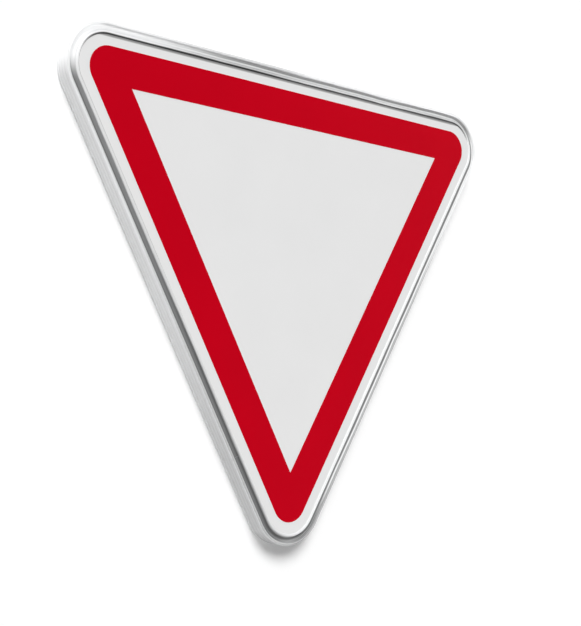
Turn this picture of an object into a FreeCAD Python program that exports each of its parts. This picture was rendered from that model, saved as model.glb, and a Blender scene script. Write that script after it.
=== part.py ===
import FreeCAD, Part
import math
import os
import Sketcher

# Give way sign: a sheet aluminium plate with reflective films, held in an extruded edge profile.
#
# The sign stands upright in the X-Z plane with its face towards -Y and one corner pointing down.
# Every outline is a rounded triangle. The bends of the edge profile and the plate's corners share
# the same three centres. A size called a reach is counted outwards from the plain triangle that
# joins those centres, the corner line, so it is also the radius of such an outline's corners.
# Depth is counted backwards (+Y) from the front of the white film.
# The finished sign is moved so that the origin is in its rear plane, at the middle of the upper
# rear land, where the upper clamp bears.

os.makedirs("parts", exist_ok=True)
doc = FreeCAD.newDocument("give_way_sign")

# Driving sizes in millimetres
SIZES = {
    # face
    "corner_reach": 440.0,        # centre of the sign to the centre of each rounded corner
    "red_reach": 33.0,            # corner line to the red border's outer edge
    "red_corner": 35.0,           # radius of the red border's outer corners
    "red_band": 58.4,             # width of the red border
    "white_border": 17.0,         # white strip between the red border and the front lip
    "red_film": 0.2,              # thickness of the red overlay film
    "white_film": 0.4,            # thickness of the white sheeting
    "plate_sheet": 2.0,           # thickness of the aluminium plate
    # front of the edge profile
    "lip_cover": 3.9,             # how far the front lip laps over the plate
    "edge_clearance": 0.3,        # plate edge to the bottom of its slot
    "slot_web": 1.2,              # metal between the slot and the front groove
    "lip_step": 0.5,              # straight inner wall of the lip above the face
    "lip_crown": 1.1,             # rounding of the lip above that wall
    "groove_width": 8.9,          # groove between the two front rims
    "groove_sink": 2.4,           # deepest point of the groove behind the face
    "rim_width": 4.9,             # outer rim, from the groove to the side wall
    "rim_crown": 1.0,             # highest point of the outer rim in front of the face
    "rim_foot": 1.0,              # where the outer rim starts, behind the face
    "rim_shoulder": 1.5,          # where the outer rim runs into the side wall
    # back of the edge profile
    "profile_depth": 30.0,        # face to the rear plane
    "profile_wall": 1.8,          # wall of the side and of the rear flange
    "ledge_wall": 2.0,            # ledge behind the plate
    "ledge_setback": 1.0,         # ledge tip behind the lip tip, seen from the front
    "rear_flange": 17.2,          # width of the rear flange
    "hook_height": 4.5,           # return hook at the flange's inner edge
    "rear_corner": 1.5,           # radius of the outer rear edge
    "hollow_depth": 2.8,          # roof of the hollow under the outer rim, behind the face
    "hollow_width": 2.8,          # flat part of that roof
    # flutes along the side wall
    "flute_pitch": 7.5,
    "flute_width": 3.0,
    "flute_sink": 0.6,
    "first_flute": 8.5,           # depth of the first flute behind the face
    # butt joint of the profile
    "joint_gap": 0.3,
    "joint_from_bend": 123.0,     # end of the lower bend to the joint
    "connector_length": 96.0,
    "connector_width": 10.0,
    "connector_wall": 2.0,
    "connector_clearance": 0.2,
    # flush blind rivets through the rear flange
    "rivet_radius": 2.0,
    "rivet_bulb": 2.8,            # radius of the upset end inside the connector
    "rivet_bulb_length": 3.0,
    "rivet_head": 3.6,            # radius of the countersunk head at the surface
    "rivet_clearance": 0.05,
    "rivet_pitch": 24.0,
}
RIVET_COUNT = 4
FLUTE_COUNT = 3
SIDES = 3

sheet = doc.addObject("Spreadsheet::Sheet", "Sizes")
for row, (alias, number) in enumerate(SIZES.items(), start=1):
    sheet.set(f"A{row}", alias)
    sheet.set(f"B{row}", str(number))
    sheet.setAlias(f"B{row}", alias)
doc.recompute()


# A length keeps its number and the sheet expression that gives it, so every sum is written once
class Length:
    def __init__(self, number, text):
        self.number = float(number)
        self.text = text

    def __add__(self, other):
        other = length(other)
        return Length(self.number + other.number, f"({self.text} + {other.text})")

    def __sub__(self, other):
        other = length(other)
        return Length(self.number - other.number, f"({self.text} - {other.text})")

    def __mul__(self, factor):
        factor = length(factor)
        return Length(self.number * factor.number, f"({self.text} * {factor.text})")

    def __truediv__(self, factor):
        factor = length(factor)
        return Length(self.number / factor.number, f"({self.text} / {factor.text})")

    def __neg__(self):
        return Length(-self.number, f"(0 - {self.text})")


def length(item):
    if isinstance(item, Length):
        return item
    if item in SIZES:
        return Length(SIZES[item], f"Sizes.{item}")
    return Length(item, f"{float(item):.12g}")


def cosine(degrees):
    return Length(math.cos(math.radians(degrees)), f"cos({degrees})")


def sine(degrees):
    return Length(math.sin(math.radians(degrees)), f"sin({degrees})")


ZERO = length(0)

# Places worked out from the sizes. Reaches:
side_reach = length("corner_reach") * cosine(60)
side_run = length("corner_reach") * cosine(30) * 2
red_reach = length("red_reach")
field_apothem = side_reach + red_reach - length("red_band")
lip_tip = red_reach + length("white_border")
plate_edge = lip_tip + length("lip_cover")
slot_root = plate_edge + length("edge_clearance")
groove_inner = slot_root + length("slot_web")
groove_outer = groove_inner + length("groove_width")
outer_reach = groove_outer + length("rim_width")
wall_inside = outer_reach - length("profile_wall")
flange_tip = outer_reach - length("rear_flange")
hook_inside = flange_tip + length("profile_wall")
ledge_tip = lip_tip + length("ledge_setback")
land_middle = (flange_tip + outer_reach) / 2

# Depths behind the face:
plate_front = length("white_film")
plate_back = plate_front + length("plate_sheet")
ledge_back = plate_back + length("ledge_wall")
rear_plane = length("profile_depth")
flange_front = rear_plane - length("profile_wall")

# The joint connector's place inside the profile:
connector_top = wall_inside - length("connector_clearance")
connector_bottom = connector_top - length("connector_width")
connector_front = ledge_back + length("connector_clearance")
connector_back = flange_front - length("connector_clearance")
rivet_reach = (connector_top + connector_bottom) / 2
joint_place = length("joint_from_bend") - side_run / 2


def new_body(name):
    body = doc.addObject("PartDesign::Body", name)
    body.Label = name
    return body


def origin_item(body, role):
    return [item for item in body.Origin.OriginFeatures if item.Role == role][0]


def new_sketch(body, name, role, offset=None):
    """A sketch on one of the body's own origin planes, moved along its normal by offset."""
    sketch = body.newObject("Sketcher::SketchObject", name)
    sketch.AttachmentSupport = [(origin_item(body, role), "")]
    sketch.MapMode = "FlatFace"
    if offset is not None:
        sketch.setExpression("AttachmentOffset.Base.z", offset.text)
    return sketch


def fix_point(sketch, geometry, end, place):
    """Ties one point of the sketch to its two coordinates from the sheet."""
    for direction, measure in zip(("DistanceX", "DistanceY"), place):
        index = sketch.addConstraint(
            Sketcher.Constraint(direction, -1, 1, geometry, end, measure.number))
        sketch.setExpression(f"Constraints[{index}]", measure.text)


def vector(place):
    return FreeCAD.Vector(place[0].number, place[1].number, 0)


def draw_outline(sketch, start, steps):
    """A closed outline. A step is (end,) for a line, or (through, end) for an arc."""
    here = start
    for number, step in enumerate(steps):
        end = step[-1]
        if len(step) == 1:
            edge = sketch.addGeometry(Part.LineSegment(vector(here), vector(end)), False)
            start_end, far_end = 1, 2
        else:
            arc = Part.Arc(vector(here), vector(step[0]), vector(end))
            edge = sketch.addGeometry(arc, False)
            drawn_forward = sketch.getPoint(edge, 1).isEqual(vector(here), 1e-6)
            start_end, far_end = (1, 2) if drawn_forward else (2, 1)
            middle = sketch.addGeometry(Part.Point(vector(step[0])), True)
            sketch.addConstraint(Sketcher.Constraint("PointOnObject", middle, 1, edge))
            fix_point(sketch, middle, 1, step[0])
        if number == 0:
            fix_point(sketch, edge, start_end, start)
            opening_end = (edge, start_end)
        else:
            sketch.addConstraint(Sketcher.Constraint("Coincident", *previous_end, edge, start_end))
        if number < len(steps) - 1:
            fix_point(sketch, edge, far_end, end)
        else:
            sketch.addConstraint(Sketcher.Constraint("Coincident", edge, far_end, *opening_end))
        previous_end = (edge, far_end)
        here = end


def draw_rounded_triangle(sketch, reach, radius):
    """A rounded triangle with its point down: three arcs and the three sides between them."""
    centre_reach = length("corner_reach") + (reach - radius) * 2

    def corner_point(corner_angle, angle):
        return (centre_reach * cosine(corner_angle) + radius * cosine(angle),
                centre_reach * sine(corner_angle) + radius * sine(angle))

    steps = []
    for corner_angle in (30, -90, -210):
        steps.append((corner_point(corner_angle, corner_angle),
                      corner_point(corner_angle, corner_angle - 60)))
        steps.append((corner_point(corner_angle - 120, corner_angle - 60),))
    draw_outline(sketch, corner_point(30, 90), steps)


def draw_sharp_triangle(sketch, apothem):
    """A plain triangle with its point down, from the distance of its sides to the centre."""
    corners = [(apothem * cosine(angle) * 2, apothem * sine(angle) * 2) for angle in (30, -90, 150)]
    draw_outline(sketch, corners[0], [(corners[1],), (corners[2],), (corners[0],)])


def draw_rectangle(sketch, low, high):
    corners = [low, (high[0], low[1]), high, (low[0], high[1])]
    draw_outline(sketch, low, [(corner,) for corner in corners[1:] + corners[:1]])


def pad(body, name, sketch, thickness, to_the_back=True):
    """A pad of an X-Z sketch. The plane's own normal is -Y, so towards the back is reversed."""
    feature = body.newObject("PartDesign::Pad", name)
    feature.Profile = sketch
    feature.Reversed = to_the_back
    feature.setExpression("Length", thickness.text)
    return feature


def place_body(body, turn=0.0):
    """Moves a finished sub-part from the sign's centre to the frame at the upper rear land."""
    body.Placement = FreeCAD.Placement(
        FreeCAD.Vector(), FreeCAD.Rotation(FreeCAD.Vector(0, 1, 0), turn))
    body.setExpression("Placement.Base.y", (-rear_plane).text)
    body.setExpression("Placement.Base.z", (-(side_reach + land_middle)).text)


# The plate and its films, from the back to the front
def make_plate():
    body = new_body("sign_plate")
    sketch = new_sketch(body, "plate_outline", "XZ_Plane", offset=-plate_front)
    draw_rounded_triangle(sketch, plate_edge, plate_edge)
    pad(body, "plate_pad", sketch, length("plate_sheet"))
    place_body(body)
    return body


def make_white_film():
    body = new_body("white_reflective_film")
    sketch = new_sketch(body, "white_outline", "XZ_Plane")
    draw_rounded_triangle(sketch, plate_edge, plate_edge)
    pad(body, "white_pad", sketch, length("white_film"))
    place_body(body)
    return body


def make_red_film():
    body = new_body("red_border_film")
    sketch = new_sketch(body, "red_outline", "XZ_Plane")
    draw_rounded_triangle(sketch, red_reach, length("red_corner"))
    draw_sharp_triangle(sketch, field_apothem)
    pad(body, "red_pad", sketch, length("red_film"), to_the_back=False)
    place_body(body)
    return body


# The section of the edge profile. Each point is (depth behind the face, height in the sketch).
def section_point(depth, reach):
    return (depth, side_reach + reach)


def flute_steps():
    """V-shaped flutes in the outside of the side wall, from the front to the back."""
    steps = []
    for number in range(FLUTE_COUNT):
        middle = length("first_flute") + length("flute_pitch") * number
        half = length("flute_width") / 2
        steps.append((section_point(middle - half, outer_reach),))
        steps.append((section_point(middle, outer_reach - length("flute_sink")),))
        steps.append((section_point(middle + half, outer_reach),))
    return steps


def section_steps():
    lip_top = -length("lip_step")
    lip_middle = (lip_tip + groove_inner) / 2
    groove_middle = (groove_inner + groove_outer) / 2
    rim_middle = (groove_outer + outer_reach) / 2
    rear_bevel = length("rear_corner") * (length(1) - cosine(45))
    roof_start = wall_inside - length("hollow_width")
    # lip, groove and outer rim
    steps = [
        (section_point(lip_top, lip_tip),),
        (section_point(lip_top - length("lip_crown"), lip_middle),
         section_point(lip_top, groove_inner)),
        (section_point(length("groove_sink"), groove_middle),
         section_point(length("rim_foot"), groove_outer)),
        (section_point(-length("rim_crown"), rim_middle),
         section_point(length("rim_shoulder"), outer_reach)),
    ]
    # side wall, rear edge, rear flange and its hook
    steps += flute_steps()
    steps += [
        (section_point(rear_plane - length("rear_corner"), outer_reach),),
        (section_point(rear_plane - rear_bevel, outer_reach - rear_bevel),
         section_point(rear_plane, outer_reach - length("rear_corner"))),
        (section_point(rear_plane, flange_tip),),
        (section_point(rear_plane - length("hook_height"), flange_tip),),
        (section_point(rear_plane - length("hook_height"), hook_inside),),
        (section_point(flange_front, hook_inside),),
    ]
    # inside of the channel, ledge and slot for the plate
    steps += [
        (section_point(flange_front, wall_inside),),
        (section_point(length("hollow_depth"), wall_inside),),
        (section_point(length("hollow_depth"), roof_start),),
        (section_point(ledge_back, roof_start - (ledge_back - length("hollow_depth"))),),
        (section_point(ledge_back, ledge_tip),),
        (section_point(plate_back, ledge_tip),),
        (section_point(plate_back, slot_root),),
        (section_point(ZERO, slot_root),),
        (section_point(ZERO, lip_tip),),
    ]
    return steps


def draw_section(sketch):
    draw_outline(sketch, section_point(ZERO, lip_tip), section_steps())


# The rivets stand along Y. Half of the first one is drawn, and then turned about its axis.
rivet_axis = joint_place - length("rivet_pitch") * ((RIVET_COUNT - 1) / 2)
rivet_cone_end = rear_plane - (length("rivet_head") - length("rivet_radius"))
rivet_bulb_back = connector_back - length("connector_wall")


def draw_rivet(sketch):
    """Countersunk head, shank, and the end that is upset inside the connector."""
    head = rivet_axis + length("rivet_head")
    shank = rivet_axis + length("rivet_radius")
    bulb = rivet_axis + length("rivet_bulb")
    bulb_front = rivet_bulb_back - length("rivet_bulb_length")
    draw_outline(sketch, (rivet_axis, rear_plane), [
        ((head, rear_plane),),
        ((shank, rivet_cone_end),),
        ((shank, rivet_bulb_back),),
        ((bulb, rivet_bulb_back),),
        ((bulb, bulb_front),),
        ((rivet_axis, bulb_front),),
        ((rivet_axis, rear_plane),),
    ])
    add_axis(sketch, (rivet_axis, ZERO), (rivet_axis, rear_plane))


def draw_rivet_hole(sketch):
    """The countersunk hole through the rear flange and the connector's back wall."""
    head = rivet_axis + length("rivet_head") + length("rivet_clearance")
    shank = rivet_axis + length("rivet_radius") + length("rivet_clearance")
    hole_end = rivet_bulb_back - length("rivet_clearance")
    draw_outline(sketch, (rivet_axis, rear_plane), [
        ((head, rear_plane),),
        ((shank, rivet_cone_end),),
        ((shank, hole_end),),
        ((rivet_axis, hole_end),),
        ((rivet_axis, rear_plane),),
    ])
    add_axis(sketch, (rivet_axis, ZERO), (rivet_axis, rear_plane))


def add_axis(sketch, start, end):
    """A construction line that a revolved feature turns about."""
    line = sketch.addGeometry(Part.LineSegment(vector(start), vector(end)), True)
    fix_point(sketch, line, 1, start)
    fix_point(sketch, line, 2, end)


def repeat_along_joint(body, name, feature):
    """Repeats one rivet or rivet hole across the joint."""
    row = body.newObject("PartDesign::LinearPattern", name)
    row.Originals = [feature]
    row.Direction = (origin_item(body, "X_Axis"), [""])
    row.Occurrences = RIVET_COUNT
    row.Mode = "Spacing"
    row.setExpression("Offset", length("rivet_pitch").text)
    body.Tip = row
    return row


def cut_rivet_holes(body):
    sketch = new_sketch(body, f"{body.Label}_hole", "XY_Plane", offset=side_reach + rivet_reach)
    draw_rivet_hole(sketch)
    groove = body.newObject("PartDesign::Groove", f"{body.Label}_groove")
    groove.Profile = sketch
    groove.ReferenceAxis = (sketch, ["Axis0"])
    groove.Angle = 360
    return repeat_along_joint(body, f"{body.Label}_holes", groove)


# The profile is drawn with its joint in the upper side, then turned a third of a turn
JOINT_SIDE_TURN = -120.0


def make_edge_profile():
    body = new_body("edge_profile")
    side_sketch = new_sketch(body, "side_section", "YZ_Plane")
    draw_section(side_sketch)
    side = body.newObject("PartDesign::Pad", "profile_side")
    side.Profile = side_sketch
    side.Midplane = True
    side.setExpression("Length", side_run.text)

    bend_sketch = new_sketch(body, "bend_section", "YZ_Plane", offset=side_run / 2)
    draw_section(bend_sketch)
    add_axis(bend_sketch, (ZERO, side_reach), (rear_plane, side_reach))
    bend = body.newObject("PartDesign::Revolution", "profile_bend")
    bend.Profile = bend_sketch
    bend.ReferenceAxis = (bend_sketch, ["Axis0"])
    bend.Angle = 360 / SIDES

    ring = body.newObject("PartDesign::PolarPattern", "profile_ring")
    ring.Originals = [side, bend]
    ring.Axis = (origin_item(body, "Y_Axis"), [""])
    ring.Angle = 360
    ring.Occurrences = SIDES
    body.Tip = ring
    doc.recompute()

    joint_sketch = new_sketch(body, "joint_outline", "XZ_Plane")
    half_gap = length("joint_gap") / 2
    draw_rectangle(joint_sketch, (joint_place - half_gap, side_reach),
                   (joint_place + half_gap, side_reach + outer_reach * 2))
    joint = body.newObject("PartDesign::Pocket", "butt_joint")
    joint.Profile = joint_sketch
    joint.Type = "ThroughAll"
    joint.Midplane = True
    cut_rivet_holes(body)
    place_body(body, JOINT_SIDE_TURN)
    return body


def make_connector():
    body = new_body("joint_connector")
    sketch = new_sketch(body, "connector_section", "YZ_Plane", offset=joint_place)
    wall = length("connector_wall")
    draw_rectangle(sketch, section_point(connector_front, connector_bottom),
                   section_point(connector_back, connector_top))
    draw_rectangle(sketch, section_point(connector_front + wall, connector_bottom + wall),
                   section_point(connector_back - wall, connector_top - wall))
    bar = body.newObject("PartDesign::Pad", "connector_bar")
    bar.Profile = sketch
    bar.Midplane = True
    bar.setExpression("Length", length("connector_length").text)
    doc.recompute()
    cut_rivet_holes(body)
    place_body(body, JOINT_SIDE_TURN)
    return body


def make_rivets():
    body = new_body("connector_rivets")
    body.AllowCompound = True
    sketch = new_sketch(body, "rivet_outline", "XY_Plane", offset=side_reach + rivet_reach)
    draw_rivet(sketch)
    rivet = body.newObject("PartDesign::Revolution", "rivet")
    rivet.Profile = sketch
    rivet.ReferenceAxis = (sketch, ["Axis0"])
    rivet.Angle = 360
    repeat_along_joint(body, "rivet_line", rivet)
    place_body(body, JOINT_SIDE_TURN)
    return body


bodies = [
    make_plate(),
    make_white_film(),
    make_red_film(),
    make_edge_profile(),
    make_connector(),
    make_rivets(),
]
doc.recompute()

# Nothing is written until every object and every shape is sound
for item in doc.Objects:
    if "Invalid" in item.State or "Error" in item.State:
        raise RuntimeError(f"{item.Name} failed: {item.State}")
for body in bodies:
    if body.Shape.isNull() or not body.Shape.isValid():
        raise RuntimeError(f"{body.Label} has no valid shape")
for body in bodies:
    body.Shape.exportStep(f"parts/{body.Label}.step")
    box = body.Shape.optimalBoundingBox()
    print(f"{body.Label}: {len(body.Shape.Solids)} solid(s), volume {body.Shape.Volume:.1f} mm3, "
          f"x {box.XMin:.2f}..{box.XMax:.2f} y {box.YMin:.2f}..{box.YMax:.2f} "
          f"z {box.ZMin:.2f}..{box.ZMax:.2f}")
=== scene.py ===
# %% [markdown]
# # A give way sign, dressed and lit
#
# The sign is a flat rounded triangle of sheet aluminium with reflective films on its face, held in
# a bright aluminium edge profile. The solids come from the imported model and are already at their
# real size and place. This lesson gives them their finish, rebuilds the red border, the edge profile
# and the small rivets with Geometry Nodes, and lights the whole as a product on a white wall.

# %% Load the model and keep its box
import math

import bmesh
import bpy
from mathutils import Euler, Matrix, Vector


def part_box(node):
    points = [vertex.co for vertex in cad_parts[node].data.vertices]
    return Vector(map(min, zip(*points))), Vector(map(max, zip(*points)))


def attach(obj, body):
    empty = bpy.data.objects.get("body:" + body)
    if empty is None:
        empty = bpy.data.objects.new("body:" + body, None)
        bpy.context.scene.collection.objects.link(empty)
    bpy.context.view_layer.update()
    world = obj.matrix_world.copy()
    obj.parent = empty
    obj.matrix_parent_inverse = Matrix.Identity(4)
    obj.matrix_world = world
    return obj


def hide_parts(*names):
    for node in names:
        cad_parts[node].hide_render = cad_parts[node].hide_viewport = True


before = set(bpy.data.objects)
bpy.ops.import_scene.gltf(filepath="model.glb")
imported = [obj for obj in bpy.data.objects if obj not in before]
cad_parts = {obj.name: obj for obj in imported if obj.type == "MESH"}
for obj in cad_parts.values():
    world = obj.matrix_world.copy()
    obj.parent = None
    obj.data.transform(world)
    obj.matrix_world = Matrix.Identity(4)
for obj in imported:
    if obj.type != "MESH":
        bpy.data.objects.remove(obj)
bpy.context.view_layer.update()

MM = 0.001
scene = bpy.context.scene

# %% [markdown]
# ## Sizes
#
# The face looks towards -Y, Z is up, and the origin is in the rear plane, at the middle of the upper
# rear land. A reach is counted outwards from the plain triangle that joins the centres of the three
# bends, so on the profile it is also the radius of the bends. A depth is counted backwards from the
# front of the white film. The numbers are real millimetres, so they can be checked with a ruler.

# %% Driving sizes of the sign, in millimetres
CORNER_REACH = 440.0      # centre of the sign to the centre of each bend
SIDE_REACH = CORNER_REACH / 2
LIP_TIP = 50.0            # reach of the front lip's inner edge
WALL_REACH = 69.2         # reach of the profile's outer wall
PROFILE_DEPTH = 30.0      # face to rear plane
RED_REACH = 33.0          # reach of the red border's outer edge
RED_CORNER = 35.0         # radius of the red border's outer corners
RED_BAND = 58.4           # width of the red border
RED_FILM = 0.2            # thickness of the red film
JOINT_FROM_BEND = 123.0   # end of the lower bend to the butt joint
JOINT_GAP = 0.3

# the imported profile's bends are facets, so its box, which the swept one has to stay in, is a little
# narrower than the wall's reach
_, profile_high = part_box("edge_profile")
OUTER_REACH = profile_high.x / MM - CORNER_REACH * math.cos(math.radians(30))
SIGN_CENTRE = Vector((0, -PROFILE_DEPTH, profile_high.z / MM - WALL_REACH - SIDE_REACH))
print("outer reach", round(OUTER_REACH, 2), "mm, centre of the face", tuple(SIGN_CENTRE))

# %% [markdown]
# ## Camera
#
# The camera was solved from the flat artwork: the straight edges of the red border gave its place, its
# turn and its lens, set here as numbers. It stands a step to the left of the sign and a little below its
# middle, and looks slightly up. A long lens with no shift keeps the triangle's sides as straight as in a
# catalogue.

# %% Camera
CAMERA_PLACE = (-1.3219, -1.5759, -0.5739)
CAMERA_TURN = (94.790, -1.503, -40.474)
CAMERA_LENS = 69.864
CAMERA_SENSOR = 36.0

camera_data = bpy.data.cameras.new("catalogue_camera")
camera_data.lens = CAMERA_LENS
camera_data.sensor_width = CAMERA_SENSOR
camera = bpy.data.objects.new("catalogue_camera", camera_data)
camera.location = CAMERA_PLACE
camera.rotation_euler = Euler([math.radians(angle) for angle in CAMERA_TURN])
scene.collection.objects.link(camera)
scene.camera = camera
print("camera at", CAMERA_PLACE, "m, lens", CAMERA_LENS, "mm")

# %% [markdown]
# ## A short way to write nodes
#
# Materials and Geometry Nodes trees are both made of nodes, sockets and links. One helper makes a
# node, sets its plain inputs and links the others, so that each recipe below reads as a list of
# steps. An input is named, or numbered where two inputs share a name.

# %% Node helpers
def add_node(tree, kind, inputs=None, **settings):
    """Makes a node, sets its properties, then sets or links each of its inputs."""
    node = tree.nodes.new(kind)
    for name, value in settings.items():
        setattr(node, name, value)
    for name, value in (inputs or {}).items():
        if isinstance(value, bpy.types.NodeSocket):
            tree.links.new(value, node.inputs[name])
        else:
            node.inputs[name].default_value = value
    return node


def new_material(name, **shader_inputs):
    """A material with a Principled shader whose constant values are set on its own sockets."""
    material = bpy.data.materials.new(name)
    material.use_nodes = True
    tree = material.node_tree
    shader = tree.nodes["Principled BSDF"]
    for socket, value in shader_inputs.items():
        shader.inputs[socket.replace("_", " ")].default_value = value
    return material, tree, shader


def place_on_object(tree, scale=(1, 1, 1), rotation=(0, 0, 0)):
    """Object coordinates in metres, stretched by the scale and then turned."""
    coordinates = add_node(tree, "ShaderNodeTexCoord").outputs["Object"]
    turn = [math.radians(angle) for angle in rotation]
    mapping = add_node(tree, "ShaderNodeMapping", {"Vector": coordinates, "Rotation": turn, "Scale": scale})
    return mapping.outputs["Vector"]


def noise(tree, vector, scale=1.0, detail=2.0, roughness=0.5):
    values = {"Vector": vector, "Scale": scale, "Detail": detail, "Roughness": roughness}
    return add_node(tree, "ShaderNodeTexNoise", values).outputs["Fac"]


def spread(tree, value, low, high, start=0.0, end=1.0, smooth=False):
    """Maps a value that runs from start to end to the range from low to high."""
    values = {"Value": value, "From Min": start, "From Max": end, "To Min": low, "To Max": high}
    kind = "SMOOTHSTEP" if smooth else "LINEAR"
    return add_node(tree, "ShaderNodeMapRange", values, interpolation_type=kind).outputs["Result"]


def blend_colours(tree, factor, first, second):
    """Mixes two colours. Each is three numbers or a colour socket."""
    node = add_node(tree, "ShaderNodeMix", {0: factor}, data_type="RGBA")
    for index, colour in ((6, first), (7, second)):
        if isinstance(colour, bpy.types.NodeSocket):
            tree.links.new(colour, node.inputs[index])
        else:
            node.inputs[index].default_value = (*colour, 1)
    return node.outputs[2]


def multiply(tree, first, second):
    return add_node(tree, "ShaderNodeMath", {0: first, 1: second}, operation="MULTIPLY").outputs[0]


def relief(tree, height, depth, normal=None):
    """Bump from a height between 0 and 1, depth in millimetres."""
    node = add_node(tree, "ShaderNodeBump", {"Height": height, "Distance": depth * MM})
    if normal is not None:
        tree.links.new(normal, node.inputs["Normal"])
    return node.outputs["Normal"]


# %% [markdown]
# ## The studio
#
# The sign hangs close to a white wall, over a pale floor. Its upper edge is nearest, so the soft shadow
# on the wall grows from top to bottom. The wall has an opening a little smaller than the sign, which
# hides it, so that light reaches the back too. The wall is clear when it is seen from behind, so that
# the sign can be looked at from there.

# %% Wall and floor
WALL_GAP = 0.003          # rear plane of the sign to the wall, at the sign's upper edge
WALL_LEAN = 0.004         # how much the gap grows for each metre down
WALL_SIZE = 8.0
WALL_OPENING = 62.0       # reach of the opening in the wall, in millimetres
OPENING_STEPS = 24        # points round each corner of the opening
FLOOR_LEVEL = -1.3
FLOOR_SIZE = 16.0


def make_sheet(name, corners, material):
    """A flat four-cornered stage piece."""
    mesh = bpy.data.meshes.new(name)
    mesh.from_pydata(corners, [], [range(4)])
    mesh.materials.append(material)
    sheet = bpy.data.objects.new(name, mesh)
    scene.collection.objects.link(sheet)
    return sheet


def rounded_triangle(reach, steps):
    """Points round the sign's outline at that reach, as (x, z) in metres."""
    points = []
    for corner in (150, 30, -90):
        turned = math.radians(corner)
        centre_x = CORNER_REACH * math.cos(turned)
        centre_z = SIGN_CENTRE.z + CORNER_REACH * math.sin(turned)
        for step in range(steps + 1):
            angle = turned + math.radians(60 - 120 * step / steps)
            x = centre_x + reach * math.cos(angle)
            z = centre_z + reach * math.sin(angle)
            points.append((x * MM, z * MM))
    return points


def make_open_wall(name, corners, hole, material):
    """A flat stage piece with an opening, facing the camera's side."""
    shape = bmesh.new()
    for ring in (corners, hole):
        points = [shape.verts.new(point) for point in ring]
        for first, second in zip(points, points[1:] + points[:1]):
            shape.edges.new((first, second))
    bmesh.ops.triangle_fill(shape, edges=shape.edges[:], use_beauty=True)
    bmesh.ops.reverse_faces(shape, faces=[face for face in shape.faces if face.normal.y > 0])
    mesh = bpy.data.meshes.new(name)
    shape.to_mesh(mesh)
    shape.free()
    mesh.materials.append(material)
    sheet = bpy.data.objects.new(name, mesh)
    scene.collection.objects.link(sheet)
    return sheet


def make_wall_material():
    """Matt white that glows a little, and that can be looked through from behind."""
    material = bpy.data.materials.new("white_wall")
    material.use_nodes = True
    tree = material.node_tree
    tree.nodes.clear()
    paint = add_node(tree, "ShaderNodeBsdfDiffuse", {"Color": (0.96, 0.96, 0.96, 1)})
    glow = add_node(tree, "ShaderNodeEmission", {"Strength": 0.08})
    front = add_node(tree, "ShaderNodeAddShader", {0: paint.outputs[0], 1: glow.outputs[0]})
    clear = add_node(tree, "ShaderNodeBsdfTransparent")
    behind = add_node(tree, "ShaderNodeNewGeometry").outputs["Backfacing"]
    mix = add_node(tree, "ShaderNodeMixShader", {0: behind, 1: front.outputs[0], 2: clear.outputs[0]})
    add_node(tree, "ShaderNodeOutputMaterial", {"Surface": mix.outputs[0]})
    return material


def make_floor_material():
    """Pale grey floor. The camera and mirrors see it a little brighter, as part of the white set."""
    material = bpy.data.materials.new("pale_floor")
    material.use_nodes = True
    tree = material.node_tree
    tree.nodes.clear()
    paint = add_node(tree, "ShaderNodeBsdfDiffuse", {"Color": (0.78, 0.78, 0.78, 1)})
    rays = add_node(tree, "ShaderNodeLightPath").outputs
    seen = add_node(tree, "ShaderNodeMath", {0: rays["Is Camera Ray"], 1: rays["Is Glossy Ray"]},
                    operation="MAXIMUM").outputs[0]
    strength = spread(tree, seen, 0.0, 0.3)
    glow = add_node(tree, "ShaderNodeEmission", {"Strength": strength})
    both = add_node(tree, "ShaderNodeAddShader", {0: paint.outputs[0], 1: glow.outputs[0]})
    add_node(tree, "ShaderNodeOutputMaterial", {"Surface": both.outputs[0]})
    return material


half_wall, half_floor = WALL_SIZE / 2, FLOOR_SIZE / 2
wall_edge = [
    (-half_wall, FLOOR_LEVEL), (half_wall, FLOOR_LEVEL), (half_wall, half_wall), (-half_wall, half_wall)]
wall_hole = rounded_triangle(WALL_OPENING, OPENING_STEPS)
edge_points, hole_points = (
    [(x, WALL_GAP - WALL_LEAN * z, z) for x, z in ring] for ring in (wall_edge, wall_hole))
wall = make_open_wall("white_wall", edge_points, hole_points, make_wall_material())
wall.visible_shadow = False

floor = make_sheet("pale_floor", [
    (-half_floor, -half_floor, FLOOR_LEVEL), (half_floor, -half_floor, FLOOR_LEVEL),
    (half_floor, half_floor, FLOOR_LEVEL), (-half_floor, half_floor, FLOOR_LEVEL),
], make_floor_material())
floor.visible_diffuse = False
print("wall", WALL_GAP, "m behind the sign, floor at", FLOOR_LEVEL, "m")

# %% [markdown]
# ## Lamps, a shade card and the surrounding white
#
# The shadows say where the light came from: they fall down and a little to the right, and they are
# soft. So the key lamp stands high in front of the sign and to its left, and is a fairly wide one. It is
# far away, so that it lights the face evenly. A much wider fill lamp softens its shadows, and a third
# lamp lights the back.
#
# Metal shows what it mirrors. The surroundings are white, and the key lamp's soft box is brighter still,
# so the upper left bend, which faces it and is left bright as a painted highlight, is almost lost in the
# white. The box is a glowing card of its own that only shiny surfaces see, because a far lamp as small
# as a sun would burn the narrow lips out.
# A dark card lies on the floor in front: what faces down mirrors it and turns grey.

# %% Lamps
def add_far_lamp(name, direction, strength, width):
    """A distant soft lamp. The direction points from the sign to the lamp, the width is in degrees."""
    data = bpy.data.lights.new(name, "SUN")
    data.energy = strength
    data.angle = math.radians(width)
    lamp = bpy.data.objects.new(name, data)
    lamp.location = direction
    lamp.rotation_euler = Vector(direction).to_track_quat("Z", "Y").to_euler()
    scene.collection.objects.link(lamp)
    return lamp


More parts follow.
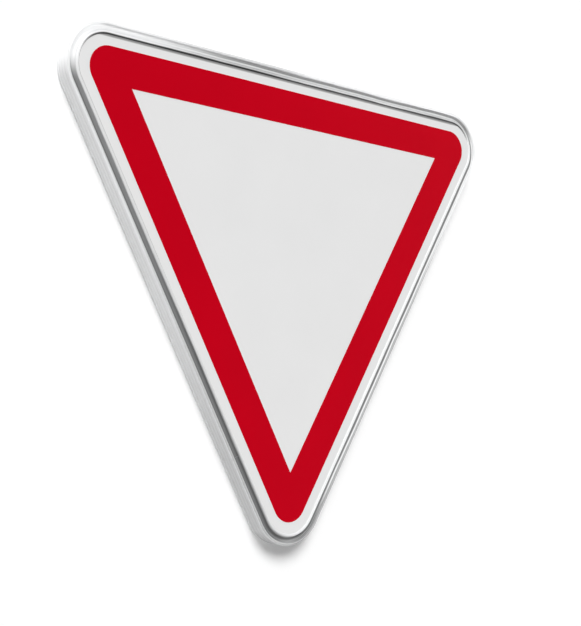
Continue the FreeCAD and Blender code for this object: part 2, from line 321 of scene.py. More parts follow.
key_lamp = add_far_lamp("key_lamp", (-0.33, -0.74, 0.57), strength=2.6, width=26)
fill_lamp = add_far_lamp("fill_lamp", (-0.45, -0.70, 0.56), strength=0.9, width=110)
back_lamp = add_far_lamp("back_lamp", (0.45, 0.80, 0.40), strength=1.6, width=40)
for lamp in (key_lamp, fill_lamp, back_lamp):
    lamp.visible_glossy = False


def make_world():
    """Even white light: the camera and mirrors see plain white, matt surfaces a weaker one."""
    world = bpy.data.worlds.new("white_studio")
    world.use_nodes = True
    tree = world.node_tree
    rays = add_node(tree, "ShaderNodeLightPath").outputs
    seen = add_node(tree, "ShaderNodeMath", {0: rays["Is Camera Ray"], 1: rays["Is Glossy Ray"]},
                    operation="MAXIMUM").outputs[0]
    seen = add_node(tree, "ShaderNodeMath", {0: seen, 1: rays["Is Transmission Ray"]},
                    operation="MAXIMUM").outputs[0]
    background = tree.nodes["Background"]
    background.inputs["Color"].default_value = (1, 1, 1, 1)
    tree.links.new(spread(tree, seen, 0.16, 1.0), background.inputs["Strength"])
    return world


scene.world = make_world()
scene.view_settings.view_transform = "Standard"


def make_card_material(name, near, far):
    """A glow that changes from near the wall to two and a half metres in front of it."""
    material = bpy.data.materials.new(name)
    material.use_nodes = True
    tree = material.node_tree
    tree.nodes.clear()
    depth = add_node(tree, "ShaderNodeSeparateXYZ", {"Vector": place_on_object(tree)}).outputs["Y"]
    glow = add_node(tree, "ShaderNodeEmission", {"Strength": spread(tree, depth, near, far, -0.2, -2.5)})
    add_node(tree, "ShaderNodeOutputMaterial", {"Surface": glow.outputs[0]})
    return material


BOX_DIRECTION = Vector((-0.36, -0.68, 0.66))
BOX_DISTANCE = 3.0
BOX_SIZE = 1.7
CARD_LEFT, CARD_RIGHT = -1.3, 1.1        # the dark card on the floor
CARD_FAR, CARD_NEAR = -0.12, -4.4        # its edge at the wall and its edge towards the camera
CARD_LEVEL = -1.25
box_turn = BOX_DIRECTION.to_track_quat("Z", "Y")
soft_box = make_sheet("soft_box", [
    box_turn @ Vector((x * BOX_SIZE / 2, y * BOX_SIZE / 2, BOX_DISTANCE))
    for x, y in ((-1, -1), (1, -1), (1, 1), (-1, 1))], make_card_material("soft_box", 1.9, 1.9))
dark_card = make_sheet("dark_card", [
    (CARD_LEFT, CARD_NEAR, CARD_LEVEL), (CARD_RIGHT, CARD_NEAR, CARD_LEVEL),
    (CARD_RIGHT, CARD_FAR, CARD_LEVEL), (CARD_LEFT, CARD_FAR, CARD_LEVEL),
], make_card_material("dark_card", 0.35, 0.70))
for card in (soft_box, dark_card):
    card.visible_camera = False
    card.visible_diffuse = False
    card.visible_shadow = False
print("lamps:", [light.name for light in bpy.data.lights])

# %% [markdown]
# ## White reflective sheeting
#
# The face is glass bead sheeting: a clear glossy top film over beads finer than sand. From a step away
# it is an even, neutral white. Close up it has a fine sparkle, a faint cloudiness and the soft
# waviness of a film rolled on by hand. A clear coat gives the gloss and small noises the rest.
#
# Just below the upper lip the photo shows a thin dark line on the film. It is probably the lip's own
# shadow, which the soft lamps here make too faint, so it is painted on as a stand-in.

# %% White sheeting material
LIP_LINE = profile_high.z - (OUTER_REACH - LIP_TIP) * MM     # about the height of the upper lip's inner edge
SHADE_WIDTH = 0.005       # metres, how far the dark line reaches down from there
SHADE_CORE = 0.002        # metres, and how far of that it is fully dark


def make_sheeting(name, colour, darker, gloss, lip_shade=0.0):
    """Bead sheeting in two near shades, with a painted dark line below the upper lip if asked for."""
    material, tree, shader = new_material(
        name, Coat_Weight=0.02, Coat_Roughness=0.15, Specular_IOR_Level=0.12, Specular_Tint=(*gloss, 1))
    place = place_on_object(tree)
    beads = noise(tree, place, 3800, 1.0)
    clouds = noise(tree, place, 9, 3.0)
    waves = noise(tree, place, 34, 1.0)
    tone = blend_colours(tree, spread(tree, clouds, 0.0, 1.0, 0.3, 0.7), darker, colour)
    if lip_shade:
        height = add_node(tree, "ShaderNodeSeparateXYZ", {"Vector": place}).outputs["Z"]
        shade = spread(tree, height, 0.0, lip_shade, LIP_LINE - SHADE_WIDTH, LIP_LINE - SHADE_CORE,
                       smooth=True)
        tone = blend_colours(tree, shade, tone, (0.15, 0.15, 0.15))
    tree.links.new(tone, shader.inputs["Base Color"])
    tree.links.new(spread(tree, beads, 0.42, 0.58), shader.inputs["Roughness"])
    surface = relief(tree, beads, 0.012)
    tree.links.new(relief(tree, waves, 0.05, surface), shader.inputs["Normal"])
    tree.links.new(relief(tree, waves, 0.05), shader.inputs["Coat Normal"])
    return material


white_sheeting = make_sheeting(
    "white_bead_sheeting", (0.80, 0.80, 0.80), (0.785, 0.785, 0.785), (0.6, 0.6, 0.6), lip_shade=0.8)
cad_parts["white_reflective_film"].material_slots[0].material = white_sheeting
print("white face: glass bead sheeting with a clear top film")

# %% [markdown]
# ## Help for Geometry Nodes
#
# Three pieces are built by Geometry Nodes: the red border, the edge profile and the rivets. Each has a
# tree with named sizes, which runs once on a small seed. The result is kept as a plain object with no
# modifier. Two more helpers place the corners of the sign's triangle and stand a flat drawing up.

# %% Geometry Nodes helpers
def new_geometry_tree(name, inputs, takes_geometry=False):
    """A tree with named size inputs. Returns the tree and its group input and output nodes."""
    tree = bpy.data.node_groups.new(name, "GeometryNodeTree")
    tree.interface.new_socket("Geometry", in_out="OUTPUT", socket_type="NodeSocketGeometry")
    if takes_geometry:
        tree.interface.new_socket("Geometry", in_out="INPUT", socket_type="NodeSocketGeometry")
    for label, kind in inputs.items():
        tree.interface.new_socket(label, in_out="INPUT", socket_type=f"NodeSocket{kind}")
    return tree, add_node(tree, "NodeGroupInput"), add_node(tree, "NodeGroupOutput")


def run_tree(name, mesh, tree, values):
    """Runs a tree on a mesh and returns the result as a plain object with no modifier."""
    carrier = bpy.data.objects.new(name + "_carrier", mesh)
    scene.collection.objects.link(carrier)
    modifier = carrier.modifiers.new("shape", "NODES")
    modifier.node_group = tree
    for item in tree.interface.items_tree:
        if item.in_out == "INPUT" and item.name in values:
            modifier[item.identifier] = values[item.name]
    evaluated = carrier.evaluated_get(bpy.context.evaluated_depsgraph_get())
    result = bpy.data.meshes.new_from_object(evaluated)
    carrier.modifiers.remove(modifier)
    bpy.data.objects.remove(carrier)
    result.name = name
    piece = bpy.data.objects.new(name, result)
    scene.collection.objects.link(piece)
    print(name, "has", len(result.vertices), "points and", len(result.polygons), "faces")
    return piece


def triangle_corners(tree, reach):
    """The three sharp corners of a triangle whose sides lie at that reach, as vector sockets."""
    apothem = add_node(tree, "ShaderNodeMath", {0: reach, 1: SIDE_REACH * MM}, operation="ADD").outputs[0]
    corners = []
    for angle in (-90, 30, 150):
        direction = (2 * math.cos(math.radians(angle)), 2 * math.sin(math.radians(angle)), 0)
        corner = add_node(tree, "ShaderNodeVectorMath", {0: direction, "Scale": apothem}, operation="SCALE")
        corners.append(corner.outputs[0])
    return corners


def stand_up(tree, geometry, depth):
    """Turns what was drawn flat in X-Y to face -Y, and moves it to its depth in the sign."""
    place = SIGN_CENTRE * MM + Vector((0, depth * MM, 0))
    return add_node(tree, "GeometryNodeTransform", {
        "Geometry": geometry, "Translation": place, "Rotation": Euler((math.radians(90), 0, 0)),
    }).outputs[0]


# %% [markdown]
# ## Red border film
#
# The border is a translucent red film cut to shape and rolled on over the white sheeting, so the
# beads still give it a little grain. Its outer corners are round and its inner ones sharp, as a
# plotter cuts them. The tree below cuts both outlines, fills the band between them and gives it the
# film's thickness.

# %% The band cutter
def make_band_tree():
    tree, given, result = new_geometry_tree("band_cutter", {
        "Outer reach": "Float", "Corner radius": "Float", "Inner reach": "Float",
        "Thickness": "Float", "Corner steps": "Int", "Material": "Material",
    })
    sizes = given.outputs
    outlines = []
    for reach in (sizes["Outer reach"], sizes["Inner reach"]):
        low, right, left = triangle_corners(tree, reach)
        start = add_node(tree, "ShaderNodeMix", {0: 0.5, 4: left, 5: low}, data_type="VECTOR").outputs[1]
        outlines.append(add_node(tree, "GeometryNodeCurvePrimitiveQuadrilateral", {
            "Point 1": start, "Point 2": low, "Point 3": right, "Point 4": left,
        }, mode="POINTS").outputs[0])
    rounded = add_node(tree, "GeometryNodeFilletCurve", {
        "Curve": outlines[0], "Count": sizes["Corner steps"], "Radius": sizes["Corner radius"],
    }, mode="POLY").outputs[0]
    both = add_node(tree, "GeometryNodeJoinGeometry")
    tree.links.new(rounded, both.inputs[0])
    tree.links.new(outlines[1], both.inputs[0])
    band = add_node(tree, "GeometryNodeFillCurve", {"Curve": both.outputs[0]}).outputs[0]
    thick = add_node(tree, "GeometryNodeExtrudeMesh", {
        "Mesh": band, "Offset": (0, 0, 1), "Offset Scale": sizes["Thickness"], "Individual": False,
    }).outputs[0]
    under = add_node(tree, "GeometryNodeFlipFaces", {"Mesh": band}).outputs[0]
    closed = add_node(tree, "GeometryNodeJoinGeometry")
    tree.links.new(thick, closed.inputs[0])
    tree.links.new(under, closed.inputs[0])
    closed = add_node(tree, "GeometryNodeMergeByDistance", {
        "Geometry": closed.outputs[0], "Distance": 1e-6}).outputs[0]
    standing = stand_up(tree, closed, 0)
    real = add_node(tree, "GeometryNodeRealizeInstances", {"Geometry": standing}).outputs[0]
    flat = add_node(tree, "GeometryNodeSetShadeSmooth", {"Geometry": real, "Shade Smooth": False}).outputs[0]
    painted = add_node(tree, "GeometryNodeSetMaterial", {
        "Geometry": flat, "Material": sizes["Material"]}).outputs[0]
    tree.links.new(painted, result.inputs[0])
    return tree


red_film = make_sheeting(
    "red_overlay_film", (0.535, 0.0001, 0.0095), (0.51, 0.0001, 0.009), (0.5, 0.02, 0.05))
red_border = run_tree("red_border", bpy.data.meshes.new("red_border_seed"), make_band_tree(), {
    "Outer reach": RED_REACH * MM,
    "Corner radius": RED_CORNER * MM,
    "Inner reach": (RED_REACH - RED_BAND) * MM,
    "Thickness": RED_FILM * MM,
    "Corner steps": 40,
    "Material": red_film,
})
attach(red_border, "root")
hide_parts("red_border_film")

# %% [markdown]
# ## The edge profile's cross-section
#
# The profile is one aluminium extrusion: a front lip that laps over the face, a shallow groove, a
# second rim, a side wall with three fine flutes, and a rear flange with a hook that clamps grip. Its
# cross-section is drawn once, as points in millimetres, with its round stretches as arcs.

# %% Cross-section
SLOT_REACH, SLOT_WIDTH = 54.2, 2.4       # bottom of the slot that holds the plate, and its width
LIP_STEP = 0.5                           # how far the lip's edge stands over the film
LIP_CROWN = 1.08                         # how far its rounded top rises over that edge
GROOVE_INNER, GROOVE_OUTER = 55.4, 64.3  # where the groove begins and ends
GROOVE_SINK = 2.4                        # depth of its floor
RIM_CROWN = 1.0                          # how far the outer rim stands forward of the film
RIM_FOOT, RIM_SHOULDER = 1.0, 1.5        # depths at which the rim begins and ends
FLUTE_DEPTHS = (8.5, 16.0, 23.5)         # the middle of each flute in the side wall
FLUTE_WIDTH, FLUTE_SINK = 3.0, 0.6
REAR_CORNER = 1.5                        # round between the side wall and the rear flange
EDGE_ROUNDING = 0.3                      # round on the small corners inside the section
LIP_STEPS, GROOVE_STEPS, RIM_STEPS, REAR_STEPS = 14, 20, 18, 6       # points on the four arcs


def arc(start, through, end, steps):
    """Points on the circle through three points, after the start and up to the end."""
    (ax, ay), (bx, by), (cx, cy) = start, through, end
    d = 2 * (ax * (by - cy) + bx * (cy - ay) + cx * (ay - by))
    a2, b2, c2 = ax * ax + ay * ay, bx * bx + by * by, cx * cx + cy * cy
    centre = Vector(((a2 * (by - cy) + b2 * (cy - ay) + c2 * (ay - by)) / d,
                     (a2 * (cx - bx) + b2 * (ax - cx) + c2 * (bx - ax)) / d))
    first = Vector(start) - centre
    to_through = first.angle_signed(Vector(through) - centre)
    to_end = first.angle_signed(Vector(end) - centre)
    if to_through * to_end < 0 or abs(to_through) > abs(to_end):
        to_end -= math.copysign(2 * math.pi, to_end)
    points = []
    for step in range(1, steps + 1):
        angle = -to_end * step / steps
        x = first.x * math.cos(angle) - first.y * math.sin(angle)
        y = first.x * math.sin(angle) + first.y * math.cos(angle)
        points.append((centre.x + x, centre.y + y))
    return points


def rounded_corner(before, corner, after, radius, steps=4):
    """A small round in place of a sharp corner."""
    corner = Vector(corner)
    back = (Vector(before) - corner).normalized() * radius
    ahead = (Vector(after) - corner).normalized() * radius
    points = []
    for step in range(steps + 1):
        share = step / steps
        points.append(tuple(corner + back * (1 - share) ** 2 + ahead * share ** 2))
    return points


def section_points():
    """The closed cross-section as (reach, depth), from the slot that holds the plate."""
    outer = OUTER_REACH
    points = [(SLOT_REACH, 0.0), (LIP_TIP, 0.0), (LIP_TIP, -LIP_STEP)]
    points += arc(points[-1], ((LIP_TIP + GROOVE_INNER) / 2, -LIP_STEP - LIP_CROWN),
                  (GROOVE_INNER, -LIP_STEP), LIP_STEPS)
    points += arc(points[-1], ((GROOVE_INNER + GROOVE_OUTER) / 2, GROOVE_SINK),
                  (GROOVE_OUTER, RIM_FOOT), GROOVE_STEPS)
    points += arc(points[-1], ((GROOVE_OUTER + outer) / 2, -RIM_CROWN), (outer, RIM_SHOULDER), RIM_STEPS)
    for depth in FLUTE_DEPTHS:
        points.append((outer, depth - FLUTE_WIDTH / 2))
        points.append((outer - FLUTE_SINK, depth))
        points.append((outer, depth + FLUTE_WIDTH / 2))
    points.append((outer, PROFILE_DEPTH - REAR_CORNER))
    bevel = REAR_CORNER * (1 - math.cos(math.radians(45)))
    points += arc(points[-1], (outer - bevel, PROFILE_DEPTH - bevel),
                  (outer - REAR_CORNER, PROFILE_DEPTH), REAR_STEPS)
    sharp = [
        (52.0, PROFILE_DEPTH), (52.0, 25.5),          # the rear flange's edge and its hook
        (53.8, 25.5), (53.8, 28.2),                   # round the hook to the flange's inner face
        (67.4, 28.2), (67.4, 2.8),                    # the inside of the wall
        (64.6, 2.8), (63.0, 4.4),                     # under the rim, and down to the groove's floor
        (51.0, 4.4), (51.0, SLOT_WIDTH)]              # the ledge behind the plate
    ring = [points[-1]] + sharp + [(SLOT_REACH, SLOT_WIDTH)]
    for before, corner, after in zip(ring, ring[1:], ring[2:]):
        points += rounded_corner(before, corner, after, EDGE_ROUNDING)
    points.append((SLOT_REACH, SLOT_WIDTH))
    return points


section = section_points()
across = [0.0]
for start, end in zip(section, section[1:]):
    across.append(across[-1] + math.dist(start, end))
print("section:", len(section), "points,", round(across[-1], 1), "mm round")

# %% [markdown]
# ## Sweeping the profile
#
# The factory bends one length of the extrusion round three corners and closes it with a butt joint.
# Geometry Nodes do the same: four points make the triangle, one of them at the joint, a fillet makes
# the bends, a trim opens the joint, and Curve to Mesh carries the section round. The lengths round
# and along the metal are kept as a UV map, so that the grain can follow the bends.

# %% The bending tree
def make_bending_tree():
    tree, given, result = new_geometry_tree("profile_bender", {
        "Path reach": "Float", "Joint place": "Float", "Joint gap": "Float",
        "Bend steps": "Int", "Sharp angle": "Float", "Material": "Material",
    }, takes_geometry=True)
    sizes = given.outputs
    low, right, left = triangle_corners(tree, sizes["Path reach"])
    along_left = add_node(tree, "ShaderNodeVectorMath", {0: left, 1: low}, operation="SUBTRACT").outputs[0]
    along_left = add_node(tree, "ShaderNodeVectorMath", {0: along_left}, operation="NORMALIZE").outputs[0]
    step = add_node(tree, "ShaderNodeVectorMath", {0: along_left, "Scale": sizes["Joint place"]},
                    operation="SCALE").outputs[0]
    joint = add_node(tree, "ShaderNodeVectorMath", {0: low, 1: step}, operation="ADD").outputs[0]
    triangle = add_node(tree, "GeometryNodeCurvePrimitiveQuadrilateral", {
        "Point 1": joint, "Point 2": low, "Point 3": right, "Point 4": left}, mode="POINTS").outputs[0]
    bent = add_node(tree, "GeometryNodeFilletCurve", {
        "Curve": triangle, "Count": sizes["Bend steps"], "Radius": sizes["Path reach"],
    }, mode="POLY").outputs[0]
    length = add_node(tree, "GeometryNodeCurveLength", {"Curve": bent}).outputs[0]
    half_gap = multiply(tree, sizes["Joint gap"], 0.5)
    last = add_node(tree, "ShaderNodeMath", {0: length, 1: half_gap}, operation="SUBTRACT").outputs[0]
    opened = add_node(tree, "GeometryNodeTrimCurve", {"Curve": bent, 4: half_gap, 5: last},
                      mode="LENGTH").outputs[0]
    path, along = keep_length(tree, opened)
    outline = add_node(tree, "GeometryNodeMeshToCurve", {"Mesh": given.outputs["Geometry"]}).outputs[0]
    outline, round_it = keep_length(tree, outline)
    swept = add_node(tree, "GeometryNodeCurveToMesh", {
        "Curve": path, "Profile Curve": outline, "Fill Caps": True}).outputs[0]
    uv = add_node(tree, "ShaderNodeCombineXYZ", {"X": round_it, "Y": along}).outputs[0]
    mapped = add_node(tree, "GeometryNodeStoreNamedAttribute", {"Geometry": swept, "Name": "UVMap", 3: uv},
                      data_type="FLOAT2", domain="CORNER").outputs[0]
    standing = stand_up(tree, mapped, 0)
    angle = add_node(tree, "GeometryNodeInputMeshEdgeAngle").outputs[0]
    crisp = add_node(tree, "FunctionNodeCompare", {0: angle, 1: sizes["Sharp angle"]},
                     data_type="FLOAT", operation="GREATER_THAN").outputs[0]
    smooth = add_node(tree, "GeometryNodeSetShadeSmooth", {"Geometry": standing}, domain="FACE").outputs[0]
    creased = add_node(tree, "GeometryNodeSetShadeSmooth", {
        "Geometry": smooth, "Selection": crisp, "Shade Smooth": False}, domain="EDGE").outputs[0]
    real = add_node(tree, "GeometryNodeRealizeInstances", {"Geometry": creased}).outputs[0]
    finished = add_node(tree, "GeometryNodeSetMaterial", {
        "Geometry": real, "Material": sizes["Material"]}).outputs[0]
    tree.links.new(finished, result.inputs[0])
    return tree


def keep_length(tree, curve):
    """Captures each point's length along its curve, so that it survives the sweep."""
    node = add_node(tree, "GeometryNodeCaptureAttribute", {"Geometry": curve})
    node.capture_items.new("FLOAT", "Length")
    parameter = add_node(tree, "GeometryNodeSplineParameter").outputs["Length"]
    tree.links.new(parameter, node.inputs[1])
    return node.outputs[0], node.outputs[1]


# %% [markdown]
# ## Satin aluminium with painted shade in the groove
#
# The extrusion keeps fine draw lines along its length. They are noise stretched along the UV map's
# second direction, used for the colour, the roughness and a very shallow relief.
#
# The grey and dark bands on the metal are painted shade and painted reflection. The groove is darker,
# more so on the lower bend, and the side wall is duller, more so low down. They may be dust and oxide,
# or partly what it mirrored. Here they are marks of weather: dust lies in the groove, water carries
# more of it down to the lower bend, and the side wall turns dull. Each mark is a soft band across the
# section, between two places on it, and may fade in over a stretch of the sign. It takes away a plain
# share of the light, given for each mark. The upper left bend is left without marks, as a painted
# highlight, because there the photo is almost white.

# %% Painted shade on the profile
lip_edge_point = 2                       # the third point of the section
lip_back_point = lip_edge_point + LIP_STEPS
groove_end_point = lip_back_point + GROOVE_STEPS
rim_end_point = groove_end_point + RIM_STEPS
LIP_EDGE = across[lip_edge_point]
LIP_BACK = across[lip_back_point]
GROOVE_FLOOR = across[lip_back_point + GROOVE_STEPS // 2]
GROOVE_END = across[groove_end_point]
RIM_END = across[rim_end_point]
WALL_END = RIM_END + PROFILE_DEPTH       # about where the rear corner's round ends
# where the painted shade in the groove ends on the right side
GROOVE_SHADE_EDGE = GROOVE_FLOOR + 2.5
LEFT_HALF = ("x", 0.03, -0.03)
RIGHT_HALF = ("x", -0.03, 0.03)
UPPER_SIDE = ("z", -0.045, -0.012)
BELOW_UPPER_SIDE = ("z", -0.012, -0.045)
LOWER_BEND = ("z", -0.68, -0.75)

# Each mark: from and to across the section and its softness, all in millimetres, the share of light
# that it takes, and the ways in which it fades in, as (axis, from, to) in metres.
PAINTED_SHADE_MARKS = [
    # painted shade in the groove: across all of it on the left side, nearer the lip on the right side,
    # and in the outer half on the upper side
    (LIP_BACK, GROOVE_END, 1.5, 0.75, [LEFT_HALF, BELOW_UPPER_SIDE]),
    (LIP_BACK, GROOVE_SHADE_EDGE, 1.0, 0.75, [RIGHT_HALF, BELOW_UPPER_SIDE]),
    (GROOVE_FLOOR, GROOVE_END, 1.0, 0.7, [UPPER_SIDE]),
    # painted shade across the rest of the groove too, on the lower bend's right half
    (GROOVE_SHADE_EDGE, GROOVE_END, 1.5, 0.8, [RIGHT_HALF, LOWER_BEND]),
    # painted shade on the lip's top, on the left and on the upper side
    (LIP_EDGE, LIP_BACK, 1.5, 0.2, [LEFT_HALF]),
    (LIP_EDGE, LIP_BACK, 1.5, 0.2, [UPPER_SIDE]),
    # painted shade on the rim, a little on the left, and more low on the right
    (GROOVE_END, RIM_END, 1.0, 0.2, [LEFT_HALF]),
    (GROOVE_END, RIM_END, 1.0, 0.5, [RIGHT_HALF, ("z", -0.15, -0.40)]),
    # painted shade on the side wall, and more of it low down
    (RIM_END, WALL_END, 1.5, 0.3, []),
    (RIM_END, WALL_END, 1.5, 0.2, [("z", -0.40, -0.70)]),
]
# a little painted shade in each flute, from its first point on the section to its third
for flute in range(len(FLUTE_DEPTHS)):
    flute_point = rim_end_point + 1 + 3 * flute
    PAINTED_SHADE_MARKS.append((across[flute_point], across[flute_point + 2], 0.5, 0.1, []))
# where the painted shade stays away, a painted highlight: the upper left bend and the upper side near it
PAINTED_HIGHLIGHT_WAYS = [("z", -0.09, -0.05), ("x", -0.10, -0.35)]
# painted shade lines at the lip's inner edge, which the highlighted stretch has too
LIP_EDGE_SHADE_LINES = [
    # thin and grey, high on the left
    (LIP_EDGE, LIP_EDGE + 1.0, 0.3, 0.6, [LEFT_HALF, ("z", -0.45, -0.30)]),
    # dark painted shade on the upper lip's inner wall and the part of its top next to it
    (LIP_EDGE - 2.0, LIP_EDGE + 2.5, 0.8, 0.9, [UPPER_SIDE]),
]


def fade_in(tree, share, axes, ways):
    """Limits a share to where all of its ways have faded in."""
    for axis, start, end in ways:
        share = multiply(tree, share, spread(tree, axes[axis], 0, 1, start, end, smooth=True))
    return share


def soft_band(tree, position, start, end, soft):
    """One between two places across the section and zero beyond them, with soft edges."""
    rising = spread(tree, position, 0, 1, (start - soft) * MM, (start + soft) * MM, smooth=True)
    falling = spread(tree, position, 1, 0, (end - soft) * MM, (end + soft) * MM, smooth=True)
    return multiply(tree, rising, falling)


def make_profile_metal():
    material, tree, shader = new_material("satin_extrusion", Metallic=1.0)
    uv = add_node(tree, "ShaderNodeUVMap", uv_map="UVMap").outputs[0]
    lines = add_node(tree, "ShaderNodeMapping", {"Vector": uv, "Scale": (5200, 22, 1)}).outputs[0]
    draw_lines = noise(tree, lines, 1.0, 2.0)
    place = place_on_object(tree)
    # the bands wander by up to 0.8 mm, so that their edges aren't drawn with a ruler
    drift = spread(tree, noise(tree, place, 7, 3.0), -0.0008, 0.0008, 0.3, 0.7)
    position = add_node(tree, "ShaderNodeSeparateXYZ", {"Vector": uv}).outputs["X"]
    position = add_node(tree, "ShaderNodeMath", {0: position, 1: drift}, operation="ADD").outputs[0]
    sideways, _, height = add_node(tree, "ShaderNodeSeparateXYZ", {"Vector": place}).outputs
    axes = {"x": sideways, "z": height}
    # the marks fade out in the upper left bend, which is left bright as a painted highlight
    outside_painted_highlight = spread(tree, fade_in(tree, 1.0, axes, PAINTED_HIGHLIGHT_WAYS), 1.0, 0.0)
    # light: the share of the colour that the painted shade marks and lines leave
    light = 1.0
    for marks, amount in ((PAINTED_SHADE_MARKS, outside_painted_highlight), (LIP_EDGE_SHADE_LINES, 1.0)):
        for start, end, soft, strength, ways in marks:
            share = fade_in(tree, soft_band(tree, position, start, end, soft), axes, ways)
            light = multiply(tree, light, spread(tree, multiply(tree, share, amount), 1.0, 1.0 - strength))
    clean = blend_colours(tree, draw_lines, (0.88, 0.885, 0.89), (0.95, 0.955, 0.96))
    shade = add_node(tree, "ShaderNodeMix", {0: 1.0, 6: clean, 7: light}, data_type="RGBA",
                     blend_type="MULTIPLY")
    tree.links.new(shade.outputs[2], shader.inputs["Base Color"])
    tree.links.new(spread(tree, draw_lines, 0.26, 0.38), shader.inputs["Roughness"])
    tree.links.new(relief(tree, draw_lines, 0.006), shader.inputs["Normal"])
    return material


profile_metal = make_profile_metal()
# counts of the painted shade marks and of the painted shade lines at the lip's edge
print("marks of weather:", len(PAINTED_SHADE_MARKS), "and lines at the lip's edge:", len(LIP_EDGE_SHADE_LINES))

# %% [markdown]
# ## The bent profile
#
# The section's points are moved so that the lip's tip lies on the path, and are the seed of the bending
# tree. The joint's place is counted from the sharp corner of the path's triangle. The volumes printed at
# the end are positive when a piece is closed and its faces look outward.

# %% Run the bending tree
def make_outline_mesh(name, points):
    """A closed loop of edges, in metres, as the section's seed."""
    mesh = bpy.data.meshes.new(name)
    count = len(points)
    mesh.from_pydata([(x, y, 0) for x, y in points], [(i, (i + 1) % count) for i in range(count)], [])
    return mesh


seed_points = [((reach - LIP_TIP) * MM, depth * MM) for reach, depth in section]
seed = make_outline_mesh("profile_section", seed_points)
# from the sharp corner of the path's triangle: to the end of the bend, and on to the joint
joint_place = LIP_TIP * math.sqrt(3) + JOINT_FROM_BEND
edge_profile = run_tree("bent_edge_profile", seed, make_bending_tree(), {
    "Path reach": LIP_TIP * MM,
    "Joint place": joint_place * MM,
    "Joint gap": JOINT_GAP * MM,
    "Bend steps": 48,
    "Sharp angle": math.radians(18),
    "Material": profile_metal,
})
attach(edge_profile, "root")
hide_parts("edge_profile")


def signed_volume(piece):
    shape = bmesh.new()
    shape.from_mesh(piece.data)
    volume = shape.calc_volume(signed=True)
    shape.free()
    return volume


print("volume of the swept profile", round(signed_volume(edge_profile) * 1e6, 1), "cm3")
print("volume of the red border", round(signed_volume(red_border) * 1e6, 2), "cm3")

# %% [markdown]
# ## The plain metal behind
#
# The back of the plate is mill-finished sheet: dull, with the fine lines of the rolls running from side
# to side and a few handling clouds. The connector is a plain bar with fine level lines of its own: the
# noise is stretched before it is turned, so the turn picks other lines but doesn't tilt them.

# %% Materials of the hidden pieces
def make_rolled_metal(name, light, dark, roughness, turn=0):
    material, tree, shader = new_material(name, Metallic=1.0)
    lines = noise(tree, place_on_object(tree, (16, 16, 2400), (0, turn, 0)), 1.0, 3.0)
    clouds = noise(tree, place_on_object(tree), 7, 4.0, 0.6)
    tone = blend_colours(tree, multiply(tree, lines, clouds), dark, light)
    tree.links.new(tone, shader.inputs["Base Color"])
    low, high = roughness
    tree.links.new(spread(tree, clouds, low, high, 0.25, 0.75), shader.inputs["Roughness"])
    tree.links.new(relief(tree, lines, 0.008), shader.inputs["Normal"])
    return material


CAD_FINISHES = {
    "sign_plate": make_rolled_metal(
        "mill_finished_sheet", (0.70, 0.71, 0.72), (0.50, 0.51, 0.52), (0.34, 0.50)),
    "joint_connector": make_rolled_metal(
        "plain_extruded_bar", (0.72, 0.72, 0.73), (0.5, 0.5, 0.51), (0.3, 0.42), turn=30),
}
for node_name, material in CAD_FINISHES.items():
    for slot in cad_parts[node_name].material_slots:
        slot.material = material
print("finished:", ", ".join(CAD_FINISHES))

# %% [markdown]
# ## Rivets of the connector
#
# Two blind rivets on each side of the joint hold the profile's ends to the connector. A blind rivet is a
# turned part: a flush head, a shank, the bulb that the pulled stem makes inside, and the stem's broken
# end, sunk a little in the head. So half its outline is drawn once and turned round its axis, and the
# result is set on four points along the side.

# %% The rivet tree
RIVET_REACH = 62.2
RIVET_PITCH = 24.0
RIVET_COUNT = 4
RIVET_OUTLINE = [          # radius and height over the rear plane, from the bulb to the stem's broken end
    (0.0, -7.0), (1.5, -7.0), (2.2, -6.85), (2.65, -6.4), (2.8, -5.6), (2.78, -4.6), (2.55, -4.2),
    (2.0, -4.0), (2.0, -1.6), (3.6, -0.15), (3.55, -0.04), (3.35, 0.0), (1.35, 0.0), (1.2, -0.06),
    (1.1, -0.25), (1.05, -0.9), (0.98, -0.9), (0.95, -0.65), (0.75, -0.8), (0.0, -0.85)]


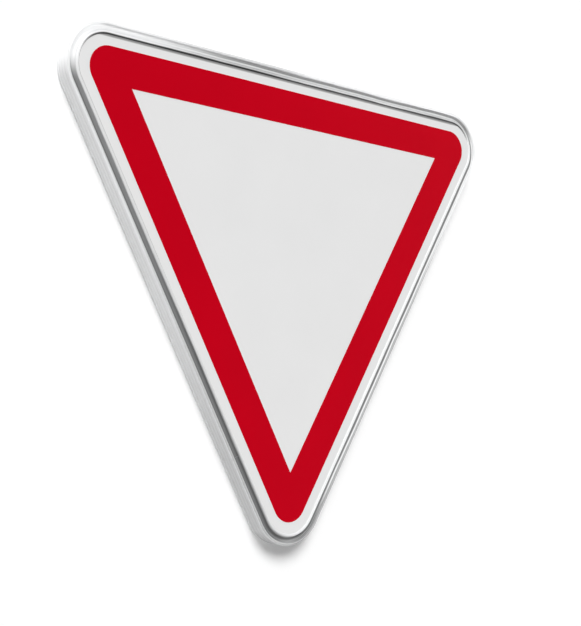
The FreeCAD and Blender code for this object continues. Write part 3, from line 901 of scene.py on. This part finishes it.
def make_rivet_tree():
    tree, given, result = new_geometry_tree("rivet_row", {
        "Turning steps": "Int", "Count": "Int", "First place": "Vector", "Step": "Vector",
        "Material": "Material",
    }, takes_geometry=True)
    sizes = given.outputs
    outline = add_node(tree, "GeometryNodeMeshToCurve", {"Mesh": sizes["Geometry"]}).outputs[0]
    # a circle with next to no radius, so that the sweep along it turns the outline round the axis
    axis = add_node(tree, "GeometryNodeCurvePrimitiveCircle", {
        "Resolution": sizes["Turning steps"], "Radius": 1e-7}).outputs[0]
    turned = add_node(tree, "GeometryNodeCurveToMesh", {"Curve": axis, "Profile Curve": outline}).outputs[0]
    turned = add_node(tree, "GeometryNodeMergeByDistance", {"Geometry": turned, "Distance": 1e-6}).outputs[0]
    flat = add_node(tree, "GeometryNodeSetShadeSmooth", {
        "Geometry": turned, "Shade Smooth": False}).outputs[0]
    row = add_node(tree, "GeometryNodeMeshLine", {
        "Count": sizes["Count"], "Start Location": sizes["First place"], "Offset": sizes["Step"]},
        mode="OFFSET").outputs[0]
    rivets = add_node(tree, "GeometryNodeInstanceOnPoints", {
        "Points": row, "Instance": flat, "Rotation": Euler((math.radians(90), 0, 0))}).outputs[0]
    real = add_node(tree, "GeometryNodeRealizeInstances", {"Geometry": rivets}).outputs[0]
    finished = add_node(tree, "GeometryNodeSetMaterial", {
        "Geometry": real, "Material": sizes["Material"]}).outputs[0]
    tree.links.new(finished, result.inputs[0])
    return tree


along_side = Vector((-0.5, 0, math.cos(math.radians(30))))
outwards = Vector((-math.cos(math.radians(30)), 0, -0.5))
lower_bend_centre = Vector((0, 0, SIGN_CENTRE.z - CORNER_REACH))
joint_middle = lower_bend_centre + outwards * RIVET_REACH + along_side * JOINT_FROM_BEND
outline_mesh = bpy.data.meshes.new("rivet_outline")
outline_mesh.from_pydata(
    [(radius * MM, height * MM, 0) for radius, height in RIVET_OUTLINE],
    [(i, i + 1) for i in range(len(RIVET_OUTLINE) - 1)], [])
rivet_metal = make_rolled_metal("rivet_aluminium", (0.74, 0.74, 0.75), (0.56, 0.56, 0.57), (0.26, 0.36))
rivets = run_tree("blind_rivets", outline_mesh, make_rivet_tree(), {
    "Turning steps": 48,
    "Count": RIVET_COUNT,
    "First place": (joint_middle - along_side * RIVET_PITCH * (RIVET_COUNT - 1) / 2) * MM,
    "Step": along_side * RIVET_PITCH * MM,
    "Material": rivet_metal,
})
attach(rivets, "root")
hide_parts("connector_rivets")
print("volume of the rivets", round(signed_volume(rivets) * 1e6, 3), "cm3")
